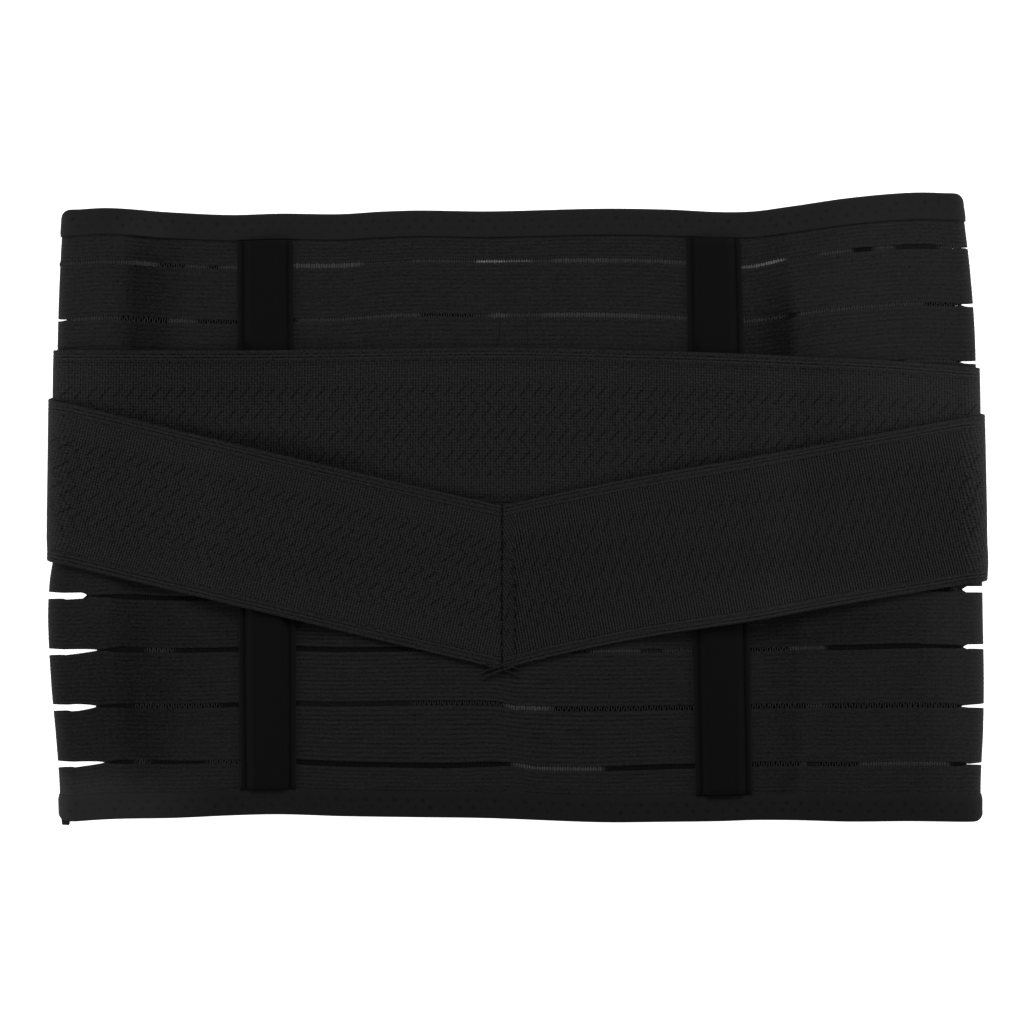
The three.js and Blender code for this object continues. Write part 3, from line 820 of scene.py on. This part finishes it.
def lay_stitches(bm, edge, inwards):
    """The zigzag thread between the two rows of holes, on the outside of the tape."""
    along = np.arange(-PANEL_END + 4, PANEL_END - 4, HOLE_PITCH / 8)
    turn = np.linspace(0, 2 * math.pi, 5)
    swing = np.abs((along / HOLE_PITCH) % 1.0 - 0.5) * 2
    inward = HOLE_ROWS[1] + (HOLE_ROWS[0] - HOLE_ROWS[1]) * swing
    level = TAPE_FACE - 0.13 - 0.3 * hole_depth(along, inward)

    def place(row, point):
        y = edge + inwards * (inward[row] + THREAD_RADIUS * np.cos(turn[point]))
        spots = wrap(along[row], y, level[row] + THREAD_RADIUS * np.sin(turn[point]))
        return spots, marks(along[row], inward[row], 0.6)

    lay_cloth(bm, len(along), len(turn), place)


edge_tapes, edge_stitches = {}, {}
for which, (edge, inwards, thinned, tone) in EDGES.items():
    edge_tapes[which] = make_piece(
        f"{which}_edge_tape", lambda bm: lay_tape(bm, edge, inwards, thinned, tone), "folded_polyester_tape",
        "binding_tape", f"{which}_binding")
    edge_stitches[which] = make_piece(
        f"{which}_edge_stitches", lambda bm: lay_stitches(bm, edge, inwards), "polyester_sewing_thread",
        "binding_tape")

# %% [markdown]
# ## Stay casings
# Two brushed tapes, sewn to the panel along both sides, hold a stay each. The seams lie in grooves a few
# millimetres in, and the pocket stands up between them.

# %% Casings
CASING_WIDTH = 25.0
CASING_HALF = CASING_WIDTH / 2
CASING_MARGIN = 0.9
CASING_GROOVE = 9.7
CASING_ROWS = 90
POCKET_EDGE = (6.2, 9.2)
PALE_MARGIN = (10.4, 11.4)


def casing_section():
    """Distance across, height and tone, once round a casing."""
    across = np.hstack([
        np.linspace(-CASING_HALF, -8, 16), np.linspace(-7.5, 7.5, 16), np.linspace(8, CASING_HALF, 16)])
    away = np.abs(across)
    groove = away - CASING_GROOVE
    wall = CASING_MARGIN + (CASING_POCKET - CASING_MARGIN) * (1 - ease(away, *POCKET_EDGE))
    wall = wall - 0.4 * np.exp(-((groove / 0.5) ** 2)) - 0.5 * ease(away, 12.0, CASING_HALF)
    relief = 0.55 - 0.35 * np.exp(-((groove / 0.7) ** 2)) + 0.45 * ease(away, *PALE_MARGIN)
    across = np.hstack([-CASING_HALF, across, CASING_HALF, 0, -CASING_HALF])
    return across, np.hstack([0, wall, [0] * 3]), np.hstack([0, relief, [0] * 3])


def lay_casing(bm, top_x, bottom_x):
    across, wall, relief = casing_section()
    low, high = BOTTOM + BINDING_LEG + GAP, TOP - BINDING_LEG - GAP
    y = np.linspace(high, low, CASING_ROWS)
    middle = (bottom_x + (top_x - bottom_x) * (y - low) / (high - low)) / stretch_at(np.sign(top_x), y)

    def place(row, point):
        spots = wrap(middle[row] + across[point], y[row], TRIM_FACE + wall[point])
        return spots, marks(across[point], y[row], relief[point])

    lay_cloth(bm, len(y), len(across), place)


for side, ends in CASINGS.items():
    make_piece(
        f"stay_casing_{side}_tape", lambda bm: lay_casing(bm, *ends), "brushed_stay_tape", "plush_tape",
        f"stay_casing_{side}")

# %% [markdown]
# ## Straps
# The straps are wide woven elastic, with ribs across and three plain cords along each selvedge. All climb
# the casings, and the V climbs on to the straight strap. Beside its seam the ribs lean the other way, since
# the cloth is turned there.

# %% Strap weave and lie
RIB_PITCH = 1.23
STITCH_X = -0.9
CORD_PITCH = 1.65
CORDS = 3
CORD_BLEND = 0.3
CORD_HEIGHT, PLAIN_HEIGHT = 0.46, 0.32
CORD_SHARES = (0.07, 0.93)
WEAVE_DEPTH = 0.3
SEAM_LEAN = math.radians(27.0)
TURNED_DEPTH = 1.3
FOLD_FLATTER = 0.6
FOLD_BLEND = 6
LIFT_REACH = 26
LIFTS = [  # edge, middle, half length and height of the stretches where the V stands off
    ("top", -104, 62, 3.2),
    ("top", 95, 62, 2.4),
    ("bottom", -150, 50, 1.8),
    ("bottom", 115, 56, 2.8),
]
PAINTED_SHADOW_ABOVE_V = {  # painted shadow on the straight strap just above the V: how dark, and how far up
    "along": [-205, -170, -139, -80, -66, -30, 10, 72, 130, 205],
    "shadow_depth": [0.05, 0.15, 0.2, 0.3, 0.15, 0.15, 0.1, 0.18, 0.18, 0.1],
    "reach": [4, 7, 8, 11, 6, 5, 4, 6, 5, 4],
}


def strap_seat(along, _):
    """Where the underside of a strap lies: on the panel, or up and over a casing."""
    over = np.zeros_like(along)
    for top_x, bottom_x in CASINGS.values():
        over = np.maximum(over, 1 - ease(np.abs(along - (top_x + bottom_x) / 2), HUMP_START, HUMP_END))
    return TRIM_FACE + (CASING_POCKET + GAP) * over


def weave(distance, across, height, depth):
    """Height of the weave, 0 to 1: cords along both edges, and ribs between them."""
    inset = np.minimum(across, height - across)
    cords = CORD_HEIGHT * np.abs(np.sin(math.pi * inset / CORD_PITCH)) ** 1.2
    ribs = 0.5 + 0.5 * np.cos(2 * math.pi * distance / RIB_PITCH)
    plain = ease(inset, CORDS * CORD_PITCH - CORD_BLEND, CORDS * CORD_PITCH + CORD_BLEND)
    return cords * (1 - plain) + (PLAIN_HEIGHT + depth * (ribs - 0.5)) * plain


def edge_lift(along, from_bottom, from_top):
    """How far the V stands off what it lies on, near its edges."""
    lift = np.zeros_like(along)
    for edge, middle, half, height in LIFTS:
        inset = from_top if edge == "top" else from_bottom
        lift = lift + height * (1 - ease(np.abs(along - middle), 0, half)) * (1 - ease(inset, 0, LIFT_REACH))
    return lift


def seam_dark(along, y):
    """The seam itself and the row of stitches beside it lie deep."""
    seam = np.exp(-(((along - SEAM_X) / 0.42) ** 2)) * (0.6 + 0.4 * np.cos(2 * math.pi * y / 3.7))
    stitch = np.exp(-(((along - STITCH_X) / 0.9) ** 2)) * (0.8 + 0.2 * np.cos(2 * math.pi * y / 2.8))
    return 0.7 * seam + 0.3 * stitch * ease(y, -68, -60) * (1 - ease(y, -34, -18))


def painted_shadow_above_v(along, y):
    """Painted shadow on the straight strap just above the V: how much darker its weave is drawn there."""
    left = curve(LEFT_STRAP["along"], LEFT_STRAP["top"], along)
    right = curve(RIGHT_STRAP["along"], RIGHT_STRAP["top"], along)
    above = y - np.where(along < SEAM_X, left, right)
    shadow_depth = np.interp(along, PAINTED_SHADOW_ABOVE_V["along"], PAINTED_SHADOW_ABOVE_V["shadow_depth"])
    return shadow_depth * (1 - ease(above, 0, np.interp(along, PAINTED_SHADOW_ABOVE_V["along"], PAINTED_SHADOW_ABOVE_V["reach"])))


def lay_strap(bm, along, low, high, lift, axis, rib_depth, between):
    """A strap between two edges: lift gives its seat, and axis is the way along it."""
    cords = np.linspace(0, CORD_SHARES[0], 17)
    share = np.hstack([cords, np.linspace(*CORD_SHARES, between)[1:-1], 1 - cords[::-1]])
    outer = np.hstack([0, np.ones(len(share)), np.zeros(11)])
    share = np.hstack([0, share, np.linspace(1, 0, 11)])
    sewn = float(axis[1] != 0)

    def place(row, point):
        x, bottom, top = along[row], low[row], high[row]
        y = bottom + (top - bottom) * share[point]
        across = (y - bottom) * axis[0]
        height = (top - bottom) * axis[0]
        turned = (sewn > 0) & (x > SEAM_X) & (x < STITCH_X)
        leaning = x * math.cos(SEAM_LEAN) + y * math.sin(SEAM_LEAN)
        distance = np.where(turned, leaning, x * axis[0] + y * axis[1])
        shown = outer[point] * (1 - ease(np.abs(x), BACK_START, BACK_START + FOLD_BLEND))
        # for the V this is its dark seam; on the straight strap it is painted shadow just above the V
        dark = seam_dark(x, y) if sewn else painted_shadow_above_v(x, y)
        flatter = 1 - FOLD_FLATTER * ease(np.abs(x), FLAT_RUN - FOLD_BLEND, FLAT_RUN + FOLD_BLEND)
        depth = np.where(turned, TURNED_DEPTH, rib_depth) * flatter
        # the weave, less the dark seam or the painted shadow, plus broad patches of painted light and shade
        relief = weave(distance, across, height, depth) - dark + patches(STRAP_PAINTED_LIGHT_AND_SHADE, x, y)
        seat = lift(x, y) + sewn * edge_lift(x, y - bottom, top - y)
        out = seat + STRAP_WALL * outer[point] - WEAVE_DEPTH * (1 - relief) * shown
        return wrap(x, y, out, 0.0), marks(distance, across - height / 2, relief)

    lay_cloth(bm, len(along), len(share), place)


def strap_stations(start, end):
    """Four corners to a rib where the strap shows."""
    along = stations(STRAP_END, RIB_PITCH / 4, fold_steps=64, lower_step=12.0)
    inside = along[(along > start + 0.05) & (along < end - 0.05)]
    return np.hstack([start, inside, end])


def over_upper_strap(along, y):
    """Seat of the V, which climbs on to the straight strap and sinks a little at its seam."""
    edge = curve(UPPER_STRAP["along"], UPPER_STRAP["top"], along) - UPPER_STRAP_HEIGHT
    seam = np.exp(-(((along - SEAM_X) / 1.1) ** 2))
    return strap_seat(along, y) + STRAP_STEP * ease(y, edge - 30, edge - 9) - 0.25 * seam


# %% Three straps
STRAP_FINISH = ("herringbone_woven_elastic", "strap_elastic")
V_HALVES = [  # side, edges, start, end, slope in degrees, depth of the ribs
    ("left", LEFT_STRAP, -STRAP_END, SEAM_X - GAP / 2, -13.2, 0.64),
    ("right", RIGHT_STRAP, SEAM_X + GAP / 2, STRAP_END, 10.6, 1.35),
]


def lay_upper_strap(bm):
    along = strap_stations(-STRAP_END, STRAP_END)
    top = curve(UPPER_STRAP["along"], UPPER_STRAP["top"], along)
    lay_strap(bm, along, top - UPPER_STRAP_HEIGHT, top, strap_seat, (1.0, 0.0), rib_depth=0.62, between=20)


def lay_v_half(bm, table, start, end, slope, rib_depth):
    along = strap_stations(start, end)
    low, high = (curve(table["along"], table[edge], along) for edge in ("bottom", "top"))
    axis = (math.cos(math.radians(slope)), math.sin(math.radians(slope)))
    lay_strap(bm, along, low, high, over_upper_strap, axis, rib_depth, between=64)


straps = {"upper": make_piece("upper_strap_elastic", lay_upper_strap, *STRAP_FINISH, "upper_strap")}
for side, *half in V_HALVES:
    straps[side] = make_piece(
        f"{side}_strap_elastic", lambda bm: lay_v_half(bm, *half), *STRAP_FINISH, f"{side}_strap")

# %% [markdown]
# ## Loose ends
# Below the seam of the V the selvedge cords of both straps run on and cross, as two short tails. A stub of
# the bottom tape sticks out at the left corner, and two short rows of thread show above the straight strap.

# %% Crossed tails of the seam
TAIL_TONE = 0.3
TAILS = [  # from x, y to x, y, the height at both ends and the bow
    ((-13.0, -68.4), (1.0, -72.0), 2.4, 1.5, 0.5),
    ((-1.0, -68.8), (-15.6, -73.4), 3.2, 1.5, -0.6),
]
FRAYS = [  # beside the tail at its start and at its end, radius
    (0.4, 1.5, 0.42),
    (-0.4, -1.6, 0.45),
]


def lay_cord(bm, start, end, out_start, out_end, radius, tone, bow=0.0):
    """A straight or slightly bowed cord on the pattern, from one (x, y) to another."""
    steps = np.linspace(0, 1, 14)
    turn = np.linspace(0, 2 * math.pi, 9)
    run, rise = end[0] - start[0], end[1] - start[1]
    length = math.hypot(run, rise)
    side = (-rise / length, run / length)
    bend = bow * np.sin(math.pi * steps)
    x = start[0] + run * steps + side[0] * bend
    y = start[1] + rise * steps + side[1] * bend
    out = out_start + (out_end - out_start) * ease(steps, 0, 1)
    thick = radius * (1 - 0.5 * ease(steps, 0.9, 1.0))

    def place(row, point):
        across = thick[row] * np.cos(turn[point])
        spots = wrap(x[row] + side[0] * across, y[row] + side[1] * across,
                     out[row] + thick[row] * np.sin(turn[point]), 0.0)
        return spots, marks(steps[row] * length, across, tone)

    lay_cloth(bm, len(steps), len(turn), place)


def lay_tails(bm):
    for start, end, high, low, bow in TAILS:
        for near, far, radius in FRAYS:
            near_end, far_end = (start[0], start[1] + near), (end[0], end[1] + far)
            lay_cord(bm, near_end, far_end, high, low, radius, TAIL_TONE, bow)


tails = make_piece("seam_tails", lay_tails, *STRAP_FINISH)

# %% Stub of tape and rows of thread
STUB_STRANDS = [(-204.6, -204.0), (-203.2, -203.2), (-201.8, -202.2), (-200.4, -201.3)]  # x at both ends
THREAD_ROWS = (-7.9, 4.8)
THREAD_LOW, THREAD_HIGH = 72.8, 84.4
THREAD_LEVEL = PANEL_FACE - 0.12


def lay_stub(bm):
    for start, end in STUB_STRANDS:
        lay_cord(bm, (start, BOTTOM + 2.0), (end, BOTTOM - 3.0), 0.4, 0.2, radius=0.75, tone=0.5)


def lay_threads(bm):
    for x in THREAD_ROWS:
        lay_cord(bm, (x, THREAD_LOW), (x, THREAD_HIGH), THREAD_LEVEL, THREAD_LEVEL, radius=0.16, tone=0.2)


stub = make_piece("tape_stub", lay_stub, "folded_polyester_tape", "binding_tape")
rows_of_thread = make_piece("panel_threads", lay_threads, "polyester_sewing_thread", "ribbed_elastic")

# %% [markdown]
# ## The hidden front
# None of the front shows, so it is finished plainly: a panel of hook-and-loop tape over the two ends of the
# wrap, and a tab that holds the strap ends of each side.

# %% Hook-and-loop pieces
TAB_LENGTH = 26.0
PATCH_LENGTH = 120.0
PATCH_MARGIN = 4.0
EDGE_ROUND = 0.6
PLATE_TONE = 0.5
PLATE_FINISH = ("hook_and_loop_tape", "hook_and_loop")


def lay_plate(bm, start, end, low, high):
    """A flat pad between the panel and the ground, with rounded long edges."""
    along = np.linspace(start, end, 24)
    span = np.linspace(0, 1, 20)
    y = np.hstack([low, low + (high - low) * span, high, low])
    round_off = EDGE_ROUND * (1 - ease(np.minimum(span, 1 - span) * (high - low), 0, 2.0))
    out = np.hstack([TRIM_FACE, STRAP_STACK - round_off, TRIM_FACE, TRIM_FACE])

    def place(row, point):
        spots = wrap(along[row], y[point], out[point], 0.0)
        return spots, marks(along[row], y[point], PLATE_TONE)

    lay_cloth(bm, len(along), len(y), place)


def lay_patch(bm):
    half, inset = PATCH_LENGTH / 2, BINDING_LEG + PATCH_MARGIN
    lay_plate(bm, FRONT_MIDDLE - half, FRONT_MIDDLE + half, BOTTOM + inset, TOP - inset)


def lay_tab(bm, sign, table):
    start = sign * (STRAP_END + GAP)
    upper = float(curve(UPPER_STRAP["along"], UPPER_STRAP["top"], start))
    high = max(upper, float(curve(table["along"], table["top"], start)))
    lay_plate(bm, start, start + sign * TAB_LENGTH, upper - UPPER_STRAP_HEIGHT, high)


plates = {"closure": make_piece("closure_panel", lay_patch, *PLATE_FINISH, "closure_patch")}
for side, sign, table in (("left", -1, LEFT_STRAP), ("right", 1, RIGHT_STRAP)):
    plates[side] = make_piece(
        f"{side}_strap_tab", lambda bm: lay_tab(bm, sign, table), *PLATE_FINISH, f"{side}_tab")

# %% [markdown]

# %% [markdown]
# ## Floor, light and camera
# The band lies on a plain white floor under broad soft light. Most of it comes from the band's top edge, a
# little from its bottom edge, and a little from low at both sides, which shows on the folds. The camera looks
# straight down.

# %% Floor
FLOOR_SIZE = 3.0
FLOOR_HEIGHT = -0.0002
floor_mesh = bmesh.new()
bmesh.ops.create_grid(floor_mesh, x_segments=1, y_segments=1, size=FLOOR_SIZE)
bmesh.ops.translate(floor_mesh, verts=floor_mesh.verts, vec=(0, 0, FLOOR_HEIGHT))
mesh = bpy.data.meshes.new("floor")
floor_mesh.to_mesh(mesh)
floor_mesh.free()
floor = add_object("floor", mesh)
white = bpy.data.materials.new("white_paper_sweep")
white.use_nodes = True
paper = white.node_tree.nodes["Principled BSDF"].inputs
paper["Base Color"].default_value = shade("#f4f4f4")
paper["Roughness"].default_value = 0.9
paper["Emission Color"].default_value = (1, 1, 1, 1)
paper["Emission Strength"].default_value = 1.0
mesh.materials.append(white)
print("floor at", FLOOR_HEIGHT)

# %% Light
LAMPS = [  # name, place, aim, size, watts
    ("window_light", (0.0, 0.65, 0.65), (0, 0, 0), 0.5, 5.4),
    ("front_fill", (-0.1, -0.9, 0.35), (0, 0, 0), 0.5, 0.9),
    ("left_fill", (-0.65, -0.2, 0.2), (-0.2, -0.1, 0), 0.3, 1.9),
    ("right_fill", (0.65, 0.0, 0.2), (0.2, 0, 0), 0.3, 1.8),
]
world = bpy.data.worlds.new("soft_room")
world.use_nodes = True
room = world.node_tree.nodes["Background"].inputs
room["Color"].default_value = (1, 1, 1, 1)
room["Strength"].default_value = 0.20
bpy.context.scene.world = world
for name, place, aim, size, watts in LAMPS:
    lamp = bpy.data.lights.new(name, "AREA")
    lamp.size = size
    lamp.energy = watts
    holder = add_object(name, lamp)
    holder.location = place
    away = np.array(place) - np.array(aim)
    tilt = math.atan2(math.hypot(away[0], away[1]), away[2])
    holder.rotation_euler = (tilt, 0, math.atan2(away[0], -away[1]))
print("lamps:", len(LAMPS))

# %% Camera
PHOTO_SCALE = 0.44
PHOTO_PIXELS = 1024
CAMERA_X, CAMERA_Y = -2.2, -1.54
CAMERA_HEIGHT = 2.2
SCALE_HEIGHT = 0.012
SENSOR = 36
camera = bpy.data.cameras.new("overhead_camera")
camera.sensor_width = SENSOR
camera.lens = SENSOR * (CAMERA_HEIGHT - SCALE_HEIGHT) / (PHOTO_SCALE * PHOTO_PIXELS * MM)
holder = add_object("overhead_camera", camera)
holder.location = (CAMERA_X * MM, CAMERA_Y * MM, CAMERA_HEIGHT)
bpy.context.scene.camera = holder
bpy.context.scene.view_settings.view_transform = "Standard"
print(f"camera lens {camera.lens:.0f} mm")
